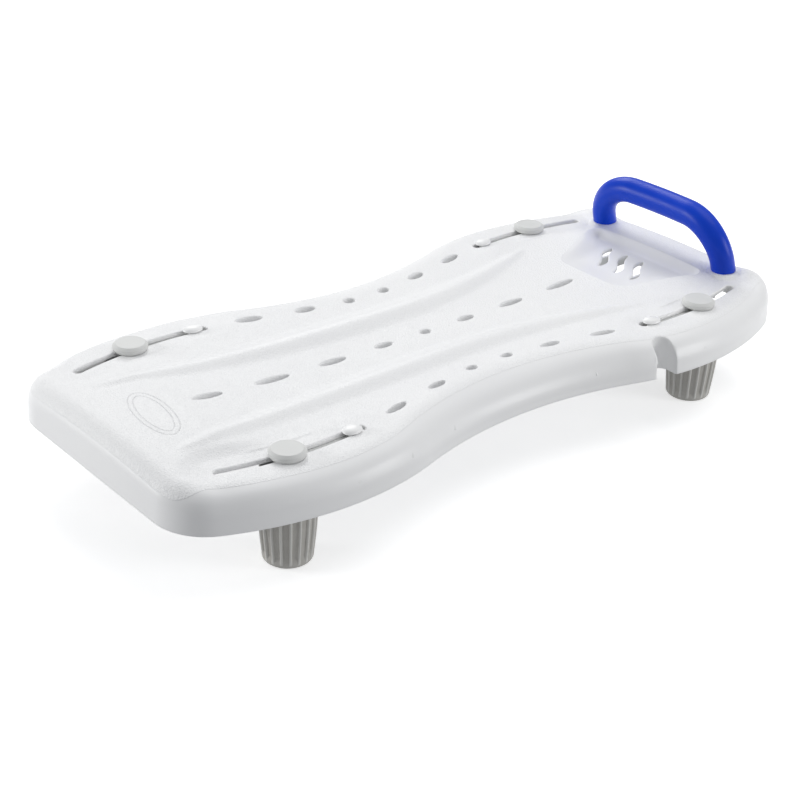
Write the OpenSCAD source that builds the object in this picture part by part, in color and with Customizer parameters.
// Bath transfer board: a one-piece moulded seat shell with a hollow underside, a bow handle, and four
// ribbed clamp feet. Each foot hangs on a carriage that slides along a curved slot near a corner.
// Origin: on the floor plane under the middle of the board. +X runs along the board to the handle end.

/* [Board outline] */
// Length of the board, end to end
board_length = 740; // [732:1:748]
// Width across the widest points of the lobes
lobe_width = 347; // [345:1:349]
// Width at the waist
waist_width = 281; // [278:1:284]
// Distance from the middle of the board to the widest points of the lobes
lobe_offset = 216; // [212:1:220]
// Radius of each lobe in plan
lobe_radius = 297; // [290:1:304]
// Radius of each corner in plan
corner_radius = 53; // [50:1:56]

/* [Seat shell] */
// Height of the skirt's lower edge above the floor
skirt_bottom = 64; // [63:0.5:65]
// Height of the seat surface at its lowest point, the middle
seat_height = 94; // [93.5:0.1:94.5]
// Wall thickness of the seat
seat_wall = 4; // [3.6:0.1:4]
// Wall thickness of the skirt
skirt_wall = 3.2; // [2.8:0.1:3.4]
// Outward lean of the skirt, as the inset at the top of its straight part
skirt_draft = 1.2; // [0.8:0.1:1.6]
// Shoulder radius along the waist
waist_shoulder = 40; // [36:1:42]
// Shoulder radius along the lobes
lobe_shoulder = 26; // [24:1:28]
// Shoulder radius along the ends
end_shoulder = 20; // [18:1:22]
// Height of the two long ridges on the seat
ridge_height = 6; // [4:0.5:7]
// Thickness of the ribs under the seat
rib_wall = 2.5; // [2:0.1:3]
// Height of the lower edge of the shallow ribs
rib_bottom = 78; // [76:1:80]

/* [Clamp slots] */
// Radius of the curved line that each clamp slot follows
slot_radius = 364; // [363:0.5:365]
// Half of the slot's width
slot_half_width = 4.3; // [4.3:0.1:4.5]
// Height of the flat land that a clamp disc slides on
track_height = 99.5; // [99:0.1:99.8]

/* [Clamp feet] */
// Largest radius of the ribbed sleeve
foot_radius = 26; // [25:0.5:26.5]
// Number of ribs round a sleeve
rib_count = 18; // [16:1:20]
// Radius of the clamp stud
stud_radius = 4; // [4:0.05:4]
// Radius of the clamp disc
disc_radius = 16.5; // [15.5:0.5:17]

/* [Handle] */
// Half of the distance between the handle's posts
handle_half_span = 86; // [84:1:88]
// Height of the handle's centre line above the seat, measured along its lean
handle_rise = 54; // [50:1:58]
// Lean of the handle towards the middle of the board, in degrees
handle_lean = 17; // [12:1:22]
// Radius of the handle's posts
post_radius = 12.8; // [12:0.1:13.2]
// Radius of the grip at its middle
grip_radius = 13.8; // [13:0.1:14.4]

/* [Hidden] */
$fn = 64;
CORNERS = ["front_left", "front_right", "back_left", "back_right"];
FOOT_PIECES = ["clamp_disc_", "clamp_stud_", "guide_plate_", "guide_button_", "guide_screw_",
    "clamp_washer_", "foot_hub_", "foot_nut_", "foot_sleeve_", "foot_plug_"];
end_ease = 0.05;

// Plan of one quadrant: a waist arc, a lobe arc and a corner arc that meet tangentially
half_length = board_length / 2;
half_lobe = lobe_width / 2;
half_waist = waist_width / 2;
lobe_rise = half_lobe - half_waist;
waist_radius = (pow(lobe_offset, 2) + pow(lobe_rise, 2)) / (2 * lobe_rise) - lobe_radius;
lobe_y = half_lobe - lobe_radius;
corner_x = half_length - corner_radius;
corner_y = lobe_y + sqrt(pow(lobe_radius - corner_radius, 2) - pow(corner_x - lobe_offset, 2));
waist_end = atan2(lobe_y - half_waist - waist_radius, lobe_offset);
corner_start = atan2(corner_y - lobe_y, corner_x - lobe_offset);

// Mesh density of the moulded surface
waist_steps = 5;
lobe_steps = 5;
corner_steps = 4;
side_steps = waist_steps + lobe_steps + corner_steps;
columns = 2 * side_steps;
across = [1, 0.85, 0.7, 0.55, 0.4, 0.2, 0, -0.2, -0.4, -0.55, -0.7, -0.85, -1];
rows = len(across) - 1;
ring_size = 2 * columns + 2 * rows;
shoulder_angles = [0, 22.5, 45, 67.5, 90];
inner_angles = [0, 45, 90];

// Seat surface: dished in the middle, rising to the ends
dish_x = 320.8;
dish_y = 121.7;
level_x = 286;
end_rise = 3.5;
side_rise = 8.5;
end_curve = 15.2;
corner_fall = 17.7;

// Raised corners of each end: [lift, start of the rise in x, its run, start in y, its run]
left_corners = [7, 200, 110, 100, 50];
right_corners = [11, 290, 60, 72, 60];

// Ridges: lens-shaped crests that bow towards the middle
ridge_left = -328;
ridge_right = 212;
ridge_middle_y = 50;
ridge_left_y = 70;
ridge_right_y = 87;
ridge_half_width = 24;

// Clamp slots and what runs in them, as angles about the slot's arc centre, from +Y towards +X
slot_centre = [222, -239];
slot_inner_angle = -7.2;
slot_outer_angle = 15;
stud_angle = 5.2;
button_angle = -5.6;
land_half_width = 19;
land_margin = 0.6;
land_spare = 0.8;
land_outer_angle = 14.4;
land_thickness = 4;
bay_half_width = 31;
bay_inner_angle = -11;
bay_outer_angle = 20;
foot_xy = slot_centre + slot_radius * [sin(stud_angle), cos(stud_angle)];

// Heights of the stack on a clamp stud, with 0.3 between bodies that move on each other
running_gap = 0.3;
disc_bottom = track_height + running_gap;
disc_height = 7;
head_bottom = disc_bottom + 0.9;
head_height = 5.2;
head_flats = 13;
plate_top = track_height - land_thickness - running_gap;
plate_bottom = plate_top - 3.2;
washer_top = plate_bottom - running_gap;
washer_bottom = washer_top - 2;
hub_top = washer_bottom - running_gap;
stud_bottom = 40;
nut_height = 6.5;
nut_flats = 13;
sleeve_top = hub_top - 3;

// Handle
handle_x = 337;
handle_seat = 104;
handle_bend = 47;
handle_toe = 2.4;
handle_bow = 7;
bolt_x = 336;
insert_depth = 14;

// Soap dish in plan: a trapezoid with rounded corners, widest towards the handle
dish_left = 230;
dish_right = 307;
dish_left_half = 52;
dish_right_half = 77;
dish_floor = 97;
dish_wall = 3.2;

// Notch for a hand shower's hose
notch_x = 165;
notch_y = -159;
notch_radius = 10.75;
notch_wall = 2.8;

function clamp01(v) = max(0, min(1, v));
function arc(centre, radius, from, to, steps, turn) = [for (i = [0:steps])
    let (a = from + (to - from) * i / steps)
    [centre.x + radius * cos(a), centre.y + radius * sin(a), a + turn]];
function all_but_last(list) = [for (i = [0:len(list) - 2]) list[i]];

// One quadrant of the outline from the waist to the end, each point with its outward direction
quadrant = concat(
    all_but_last(arc([0, half_waist + waist_radius], waist_radius, -90, waist_end, waist_steps, 180)),
    all_but_last(arc([lobe_offset, lobe_y], lobe_radius, waist_end + 180, corner_start, lobe_steps, 0)),
    arc([corner_x, corner_y], corner_radius, corner_start, 0, corner_steps, 0));

// Shoulder radius at a step of the quadrant
function shoulder_at(step) =
    step <= waist_steps + lobe_steps
        ? lobe_shoulder + (waist_shoulder - lobe_shoulder)
            * pow(cos(90 * clamp01(quadrant[step].x / lobe_offset)), 2)
        : lobe_shoulder + (end_shoulder - lobe_shoulder)
            * (step - waist_steps - lobe_steps) / corner_steps;

// The perimeter clockwise from above, starting at the back left corner: [x, y, outward x, outward y, shoulder]
function side_point(column, flip) =
    let (step = abs(column - side_steps), q = quadrant[step], s = column < side_steps ? -1 : 1)
    [s * q.x, flip * q.y, s * cos(q.z), flip * sin(q.z), shoulder_at(step)];
function end_point(row, s) = [s * half_length, s * corner_y * across[row], s, 0, end_shoulder];
perimeter = [for (k = [0:ring_size - 1])
    k <= columns ? side_point(k, 1)
    : k < columns + rows ? end_point(k - columns, 1)
    : k <= 2 * columns + rows ? side_point(2 * columns + rows - k, -1)
    : end_point(k - 2 * columns - rows, -1)];

// Height of the ridges above the plain seat
function ridge_y(x) = x < 0
    ? ridge_middle_y + (ridge_left_y - ridge_middle_y) * pow(x / ridge_left, 2)
    : ridge_middle_y + (ridge_right_y - ridge_middle_y) * pow(x / ridge_right, 2);
function ridge(x, y) =
    let (along = clamp01((x - ridge_left) / (ridge_right - ridge_left)),
        swell = sqrt(sin(180 * along)),
        side = (abs(y) - ridge_y(x)) / (ridge_half_width * max(swell, 0.05)))
    abs(side) < 1 ? ridge_height * swell * pow(cos(90 * side), 2) : 0;

function ease(t) = let (c = clamp01(t)) c * c * (3 - 2 * c);
function corner_lift(x, y) =
    let (rise = x < 0 ? left_corners : right_corners)
    rise[0] * ease((abs(x) - rise[1]) / rise[2]) * ease((abs(y) - rise[3]) / rise[4]);

// Height of the seat surface
function seat(x, y) =
    let (u = pow(min(abs(x), level_x) / dish_x, 2), v = pow(y / dish_y, 2))
    seat_height + end_rise * u + side_rise * v + end_curve * u * u - corner_fall * u * v
        + ridge(x, y) + corner_lift(x, y);

// A point of the moulding's surface at shoulder angle a, moved inwards by the given walls
function shoulder_point(p, a, side_wall, top_wall) =
    let (full = skirt_draft + p[4],
        top = seat(p.x - p[2] * full, p.y - p[3] * full),
        drop = min(p[4], top - skirt_bottom - 6),
        inset = skirt_draft + p[4] * (1 - cos(a)) + side_wall * cos(a))
    [p.x - p[2] * inset, p.y - p[3] * inset, top - drop * (1 - sin(a)) - top_wall * sin(a)];
function edge_ring(side_wall) = [for (p = perimeter)
    [p.x - p[2] * side_wall, p.y - p[3] * side_wall, skirt_bottom]];
function shoulder_rings(angles, side_wall, top_wall) =
    [for (a = angles) for (p = perimeter) shoulder_point(p, a, side_wall, top_wall)];
function seat_grid(top_wall) = [for (i = [1:columns - 1]) for (j = [1:rows - 1])
    let (p = perimeter[i], full = skirt_draft + p[4],
        x = p.x - p[2] * full, y = (p.y - p[3] * full) * across[j])
    [x, y, seat(x, y) - top_wall]];
function skin(angles, side_wall, top_wall) =
    concat(edge_ring(side_wall), shoulder_rings(angles, side_wall, top_wall), seat_grid(top_wall));

// Vertex numbers: rings first, then the inner vertices of the grid that the last ring bounds
function grid_vertex(i, j, rings) =
    let (last = (rings - 1) * ring_size)
    j == 0 ? last + i
    : j == rows ? last + 2 * columns + rows - i
    : i == columns ? last + columns + j
    : i == 0 ? last + (2 * columns + 2 * rows - j) % ring_size
    : rings * ring_size + (i - 1) * (rows - 1) + j - 1;
function split(a, b, c, d) = [[a, b, c], [a, c, d]];
function strip(lower, upper) = [for (k = [0:ring_size - 1]) let (n = (k + 1) % ring_size)
    each split(lower + k, lower + n, upper + n, upper + k)];
function skin_faces(rings) = concat(
    [for (r = [0:rings - 2]) each strip(r * ring_size, (r + 1) * ring_size)],
    [for (i = [0:columns - 1]) for (j = [0:rows - 1]) each split(
        grid_vertex(i, j, rings), grid_vertex(i + 1, j, rings),
        grid_vertex(i + 1, j + 1, rings), grid_vertex(i, j + 1, rings))]);
function reversed(faces, shift) = [for (f = faces) [f[2] + shift, f[1] + shift, f[0] + shift]];

// The moulded skin: an outer and an inner surface joined round the skirt's lower edge
module moulded_skin() {
    outer = skin(shoulder_angles, 0, 0);
    inner = skin(inner_angles, skirt_wall, seat_wall);
    outer_faces = skin_faces(len(shoulder_angles) + 1);
    inner_faces = skin_faces(len(inner_angles) + 1);
    polyhedron(
        points = concat(outer, inner),
        faces = concat(outer_faces, reversed(inner_faces, len(outer)), strip(len(outer), 0)),
        convexity = 10);
}

// A closed solid whose surface runs in the middle of the skin's walls, used to trim what joins it from inside
module middle_form() {
    points = skin(inner_angles, skirt_wall / 2, seat_wall / 2);
    polyhedron(
        points = concat(points, [[0, 0, skirt_bottom]]),
        faces = concat(
            skin_faces(len(inner_angles) + 1),
            [for (k = [0:ring_size - 1]) [(k + 1) % ring_size, k, len(points)]]),
        convexity = 10);
}

// Places a child made for the back right corner at another corner
module at_corner(corner) {
    flip_x = corner == "front_left" || corner == "back_left" ? 1 : 0;
    flip_y = corner == "front_left" || corner == "front_right" ? 1 : 0;
    mirror([flip_x, 0, 0]) mirror([0, flip_y, 0]) children();
}

// A band along the slot's arc between two angles, with round ends a touch narrower than the band
module slot_band(half_width, from, to, bottom, height) {
    translate([slot_centre.x, slot_centre.y, bottom]) {
        rotate([0, 0, 90 - to]) rotate_extrude(angle = to - from)
            translate([slot_radius - half_width, 0]) square([2 * half_width, height]);
        for (a = [from, to]) rotate([0, 0, -a]) translate([0, slot_radius, 0])
            cylinder(r = half_width - end_ease, h = height);
    }
}

// Plan outline of a drain hole: an ellipse
module drain_hole(length, width) {
    linear_extrude(40) polygon([for (i = [0:15]) [length / 2 * cos(i * 22.5), width / 2 * sin(i * 22.5)]]);
}

// Curved slot in the soap dish: a bar that follows one wave
module wave_slot(length, width) {
    wave = 2.4;
    function middle(s) = [s * length / 2, wave * sin(180 * s)];
    function half(s) = width / 2 * sqrt(1 - pow(abs(s), 3));
    linear_extrude(30) polygon(concat(
        [for (i = [-6:6]) middle(i / 6) + [0, half(i / 6)]],
        [for (i = [5:-1:-5]) middle(i / 6) - [0, half(i / 6)]]));
}

module drain_holes() {
    width = 9;
    for (s = [-1, 1]) {
        for (hole = [[52, 21], [113, 31], [182, 38]])
            translate([s * hole[0], 0, 80]) drain_hole(hole[1], width);
        for (t = [-1, 1]) for (hole = [[22, 92, 13, 2], [71, 99.5, 22, 9], [129, 112.5, 28, 15]])
            translate([s * hole[0], t * hole[1], 80]) rotate([0, 0, s * t * hole[3]])
                drain_hole(hole[2], width);
    }
    translate([0, 0, 80]) drain_hole(13, width);
    translate([-252, 0, 80]) drain_hole(32, width);
}

// Soap dish outline in plan, grown by a margin
module dish_plan(margin) {
    left_corner = 14;
    right_corner = 7;
    hull() for (t = [-1, 1]) {
        translate([dish_left + left_corner, t * (dish_left_half - left_corner)])
            circle(left_corner + margin, $fn = 32);
        translate([dish_right - right_corner, t * (dish_right_half - right_corner - 8)])
            circle(right_corner + margin, $fn = 32);
    }
}

module soap_dish_cut() {
    translate([0, 0, dish_floor]) linear_extrude(30) dish_plan(0);
    for (i = [-1:1]) translate([273, i * 23, 85]) rotate([0, 0, 28]) wave_slot(52, 7);
}

module notch_channel(margin, bottom) {
    translate([notch_x, notch_y, bottom]) cylinder(r = notch_radius + margin, h = 60);
    translate([notch_x - notch_radius - margin, notch_y - 30, bottom])
        cube([2 * (notch_radius + margin), 30, 60]);
}

module ribs() {
    for (y = [-70, -28, 28, 70]) translate([-half_length, y - rib_wall / 2, rib_bottom])
        cube([board_length, rib_wall, 60]);
    for (s = [-1, 1]) {
        for (x = [36, 90, 153, 215]) translate([s * x - rib_wall / 2, -half_lobe, rib_bottom])
            cube([rib_wall, lobe_width, 60]);
        translate([s * 346 - rib_wall / 2, -half_lobe, skirt_bottom]) cube([rib_wall, lobe_width, 60]);
    }
}

module inner_structure() {
    intersection() {
        union() {
            difference() {
                ribs();
                for (corner = CORNERS) at_corner(corner)
                    slot_band(bay_half_width, bay_inner_angle, bay_outer_angle, skirt_bottom - 1, 40);
            }
            translate([0, 0, dish_floor - dish_wall]) linear_extrude(40) dish_plan(dish_wall);
            notch_channel(notch_wall, skirt_bottom);
            for (t = [-1, 1]) translate([bolt_x, t * handle_half_span, 84]) cylinder(r = 8.6, h = 30);
        }
        middle_form();
    }
}

module board_shell() color("whitesmoke") difference() {
    union() {
        moulded_skin();
        inner_structure();
        for (corner = CORNERS) at_corner(corner)
            slot_band(land_half_width - land_margin, slot_inner_angle, land_outer_angle,
                track_height - land_thickness - land_spare, land_thickness + 2 * land_spare);
        for (t = [-1, 1]) translate([handle_x, t * handle_half_span, 92])
            cylinder(r = post_radius + 0.6, h = handle_seat - 92);
    }
    for (corner = CORNERS) at_corner(corner)
        slot_band(land_half_width, slot_inner_angle, land_outer_angle, track_height, 20);
    for (corner = CORNERS) at_corner(corner)
        slot_band(land_half_width, slot_inner_angle, land_outer_angle, track_height - land_thickness - 10, 10);
    for (corner = CORNERS) at_corner(corner)
        slot_band(slot_half_width, slot_inner_angle, slot_outer_angle, 80, 40);
    for (t = [-1, 1]) {
        translate([handle_x, t * handle_half_span, handle_seat]) cylinder(r = post_radius + 0.6, h = 20);
        translate([bolt_x, t * handle_half_span, 80]) {
            cylinder(r = 3.3, h = 40);
            cylinder(r = 6.6, h = 12);
        }
    }
    soap_dish_cut();
    notch_channel(0, skirt_bottom - 1);
    drain_holes();
}

// Centre line of the handle: [across, up the lean, bow]
function fillet(corner, before, after, radius, steps) =
    let (u = (before - corner) / norm(before - corner),
        w = (after - corner) / norm(after - corner),
        half_angle = acos(u * w) / 2,
        centre = corner + (u + w) / norm(u + w) * radius / sin(half_angle),
        start = corner + u * radius / tan(half_angle) - centre,
        finish = corner + w * radius / tan(half_angle) - centre,
        a0 = atan2(start.y, start.x),
        turn = atan2(finish.y, finish.x) - a0,
        sweep = turn > 180 ? turn - 360 : turn < -180 ? turn + 360 : turn)
    [for (i = [0:steps]) centre + radius * [cos(a0 + sweep * i / steps), sin(a0 + sweep * i / steps)]];

module handle() {
    sides = 20;
    foot = [handle_half_span, 0];
    top = [handle_half_span - handle_toe, handle_rise];
    mirrored = [-top.x, top.y];
    bend = fillet(top, foot, mirrored, handle_bend, 14);
    below = [for (t = [-8, 0]) [foot.x, t]];
    straight = [for (t = [0.7, 0.35]) [bend[14].x * t, handle_rise]];
    half_path = concat(below, bend, straight);
    path = concat(half_path, [[0, handle_rise]], [for (i = [len(half_path) - 1:-1:0])
        [-half_path[i].x, half_path[i].y]]);
    function place(p) =
        let (bow = handle_bow * max(p.y, 0) / handle_rise * (1 - pow(p.x / handle_half_span, 2)))
        [handle_x - p.y * sin(handle_lean) + bow, p.x, handle_seat + p.y * cos(handle_lean)];
    function radius_at(p) = post_radius + (grip_radius - post_radius) * pow(clamp01(p.y / handle_rise), 2);
    function unit(v) = v / norm(v);
    normal = [cos(handle_lean), 0, sin(handle_lean)];
    last = len(path) - 1;
    points = [for (i = [0:last])
        let (here = place(path[i]),
            along = unit(place(path[min(i + 1, last)]) - place(path[max(i - 1, 0)])),
            side = unit(normal - (normal * along) * along),
            other = cross(along, side),
            r = radius_at(path[i]))
        for (k = [0:sides - 1]) here + r * (side * cos(k * 360 / sides) + other * sin(k * 360 / sides))];
    walls = [for (i = [0:last - 1]) for (k = [0:sides - 1]) let (n = (k + 1) % sides)
        each split(i * sides + k, (i + 1) * sides + k, (i + 1) * sides + n, i * sides + n)];
    caps = [[for (k = [0:sides - 1]) k], [for (k = [sides - 1:-1:0]) last * sides + k]];
    color("mediumblue") difference() {
        polyhedron(points = points, faces = concat(walls, caps), convexity = 8);
        translate([handle_x - 40, -120, handle_seat - 30]) cube([80, 240, 30]);
        for (t = [-1, 1]) translate([bolt_x, t * handle_half_span, handle_seat - 1])
            cylinder(r = 4.5, h = insert_depth + 1);
    }
}

// Socket-headed M6 bolts that come up through the bosses
bolt_seat = 90.4;

module handle_bolts() {
    shank_radius = 3;
    shank_length = 26;
    cap_radius = 5;
    cap_height = 5;
    socket_radius = 2.9;
    socket_depth = 3;
    color("silver") for (t = [-1, 1]) translate([bolt_x, t * handle_half_span, bolt_seat]) {
        cylinder(r = shank_radius, h = shank_length);
        translate([0, 0, -cap_height]) difference() {
            cylinder(r = cap_radius, h = cap_height);
            translate([0, 0, -1]) cylinder(r = socket_radius, h = socket_depth + 1, $fn = 6);
        }
    }
}

module handle_washers() color("silver") for (t = [-1, 1])
    translate([bolt_x, t * handle_half_span, bolt_seat]) difference() {
        cylinder(r = 6.4, h = 1.6);
        translate([0, 0, -1]) cylinder(r = 3.2, h = 4);
    }

module handle_inserts() color("goldenrod") for (t = [-1, 1])
    translate([bolt_x, t * handle_half_span, handle_seat]) difference() {
        cylinder(r = 4.5, h = insert_depth - 0.2);
        translate([0, 0, -1]) cylinder(r = 3.05, h = insert_depth + 2);
    }

// Round cap over the stud's head, with a chamfered rim
module clamp_disc() {
    chamfer = 1.6;
    color("gainsboro") translate([foot_xy.x, foot_xy.y, disc_bottom]) difference() {
        rotate_extrude() polygon([[0, 0], [disc_radius - 0.8, 0], [disc_radius, 0.8],
            [disc_radius, disc_height - chamfer], [disc_radius - chamfer, disc_height], [0, disc_height]]);
        translate([0, 0, -1]) cylinder(r = stud_radius, h = 5);
        translate([0, 0, head_bottom - disc_bottom])
            cylinder(r = head_flats / sqrt(3), h = head_height, $fn = 6);
    }
}

// Hexagon-headed clamp stud
module clamp_stud() color("silver") translate([foot_xy.x, foot_xy.y, 0]) {
    translate([0, 0, stud_bottom]) cylinder(r = stud_radius, h = head_bottom - stud_bottom + 1);
    translate([0, 0, head_bottom]) cylinder(r = head_flats / sqrt(3), h = head_height, $fn = 6);
}

// Plate under the seat that ties the stud to the guide pin and keeps the foot from swinging
module guide_plate() color("lightgray") difference() {
    slot_band(12, button_angle, stud_angle, plate_bottom, plate_top - plate_bottom);
    translate([foot_xy.x, foot_xy.y, plate_bottom - 1]) cylinder(r = stud_radius + 0.05, h = 6);
    translate([slot_centre.x, slot_centre.y, plate_bottom - 1]) rotate([0, 0, -button_angle])
        translate([0, slot_radius, 0]) cylinder(r = 3.9, h = 6);
}

// Oval button whose pin runs in the slot
module guide_button() {
    dome_radius = 17;
    dome_height = 4.4;
    button_half_length = 9.8;
    button_half_width = 7.4;
    color("white") translate([slot_centre.x, slot_centre.y, 0]) rotate([0, 0, -button_angle])
        translate([0, slot_radius, 0]) difference() {
            union() {
                translate([0, 0, disc_bottom]) intersection() {
                    linear_extrude(dome_height)
                        polygon([for (i = [0:31])
                            [button_half_length * cos(i * 11.25), button_half_width * sin(i * 11.25)]]);
                    translate([0, 0, dome_height - dome_radius]) sphere(dome_radius);
                }
                translate([0, 0, plate_bottom]) cylinder(r = 3.9, h = disc_bottom - plate_bottom + 1);
            }
            translate([0, 0, plate_bottom - 1]) cylinder(r = 1.5, h = 9);
        }
}

// Pan-head screw that holds the button's pin to the plate
module guide_screw() color("silver") translate([slot_centre.x, slot_centre.y, 0])
    rotate([0, 0, -button_angle]) translate([0, slot_radius, 0]) {
        translate([0, 0, plate_bottom - 1.8]) cylinder(r = 5.2, h = 1.8);
        translate([0, 0, plate_bottom - 0.2]) cylinder(r = 1.5, h = 8);
    }

module clamp_washer() color("silver") translate([foot_xy.x, foot_xy.y, washer_bottom]) difference() {
    cylinder(r = 13, h = washer_top - washer_bottom);
    translate([0, 0, -1]) cylinder(r = stud_radius + 0.08, h = 5);
}

// Rigid hub of a foot: flange on top, nut pocket, and a hollow lower end
hub_radius = 19;
hub_bottom = 3;
hub_bore = 14;

module foot_hub() color("dimgray") translate([foot_xy.x, foot_xy.y, 0]) difference() {
    union() {
        translate([0, 0, hub_bottom]) cylinder(r = hub_radius, h = hub_top - hub_bottom);
        translate([0, 0, sleeve_top]) cylinder(r = 22.5, h = hub_top - sleeve_top);
    }
    translate([0, 0, hub_bottom - 1]) cylinder(r = hub_bore, h = 46);
    translate([0, 0, stud_bottom]) cylinder(r = 4.7, h = 60);
    translate([0, 0, hub_top - nut_height - 0.2])
        cylinder(r = nut_flats / sqrt(3), h = nut_height + 2, $fn = 6);
}

module foot_nut() color("goldenrod") translate([foot_xy.x, foot_xy.y, hub_top - nut_height - 0.2])
    difference() {
        cylinder(r = nut_flats / sqrt(3), h = nut_height, $fn = 6);
        translate([0, 0, -1]) cylinder(r = stud_radius + 0.05, h = nut_height + 2);
    }

// Barrel profile of the sleeve, shrunk by the depth of the flutes
module barrel(depth) {
    sole_radius = 17.5;
    edge = 5;
    rotate_extrude() polygon(concat(
        [[0, 0], [sole_radius, 0]],
        [for (a = [-60:30:0]) [sole_radius + edge * cos(a) - depth, edge + edge * sin(a)]],
        [for (i = [1:5]) let (z = edge + (sleeve_top - edge) * i / 5)
            [sole_radius + edge - depth + (foot_radius - sole_radius - edge)
                * sin(min(1, (z - edge) / 52) * 90), z]],
        [[0, sleeve_top]]));
}

// Soft sleeve with upright ribs, gripping the hub
module foot_sleeve() {
    flute = 1.3;
    rib_top_width = 2.2;
    color("silver") translate([foot_xy.x, foot_xy.y, 0]) difference() {
        union() {
            barrel(flute);
            intersection() {
                barrel(0);
                for (i = [0:rib_count - 1]) rotate([0, 0, i * 360 / rib_count])
                    translate([15, -rib_top_width / 2, 0]) cube([15, rib_top_width, sleeve_top]);
            }
        }
        translate([0, 0, hub_bottom]) cylinder(r = hub_radius, h = sleeve_top);
        translate([0, 0, -1]) cylinder(r = 12, h = 5);
    }
}

// Plug that closes the hub's lower end
module foot_plug() color("gray") translate([foot_xy.x, foot_xy.y, hub_bottom]) cylinder(r = hub_bore, h = 5);

board_shell();
handle();
handle_bolts();
handle_washers();
handle_inserts();
for (corner = CORNERS) at_corner(corner) {
    clamp_disc();
    clamp_stud();
    guide_plate();
    guide_button();
    guide_screw();
    clamp_washer();
    foot_hub();
    foot_nut();
    foot_sleeve();
    foot_plug();
}
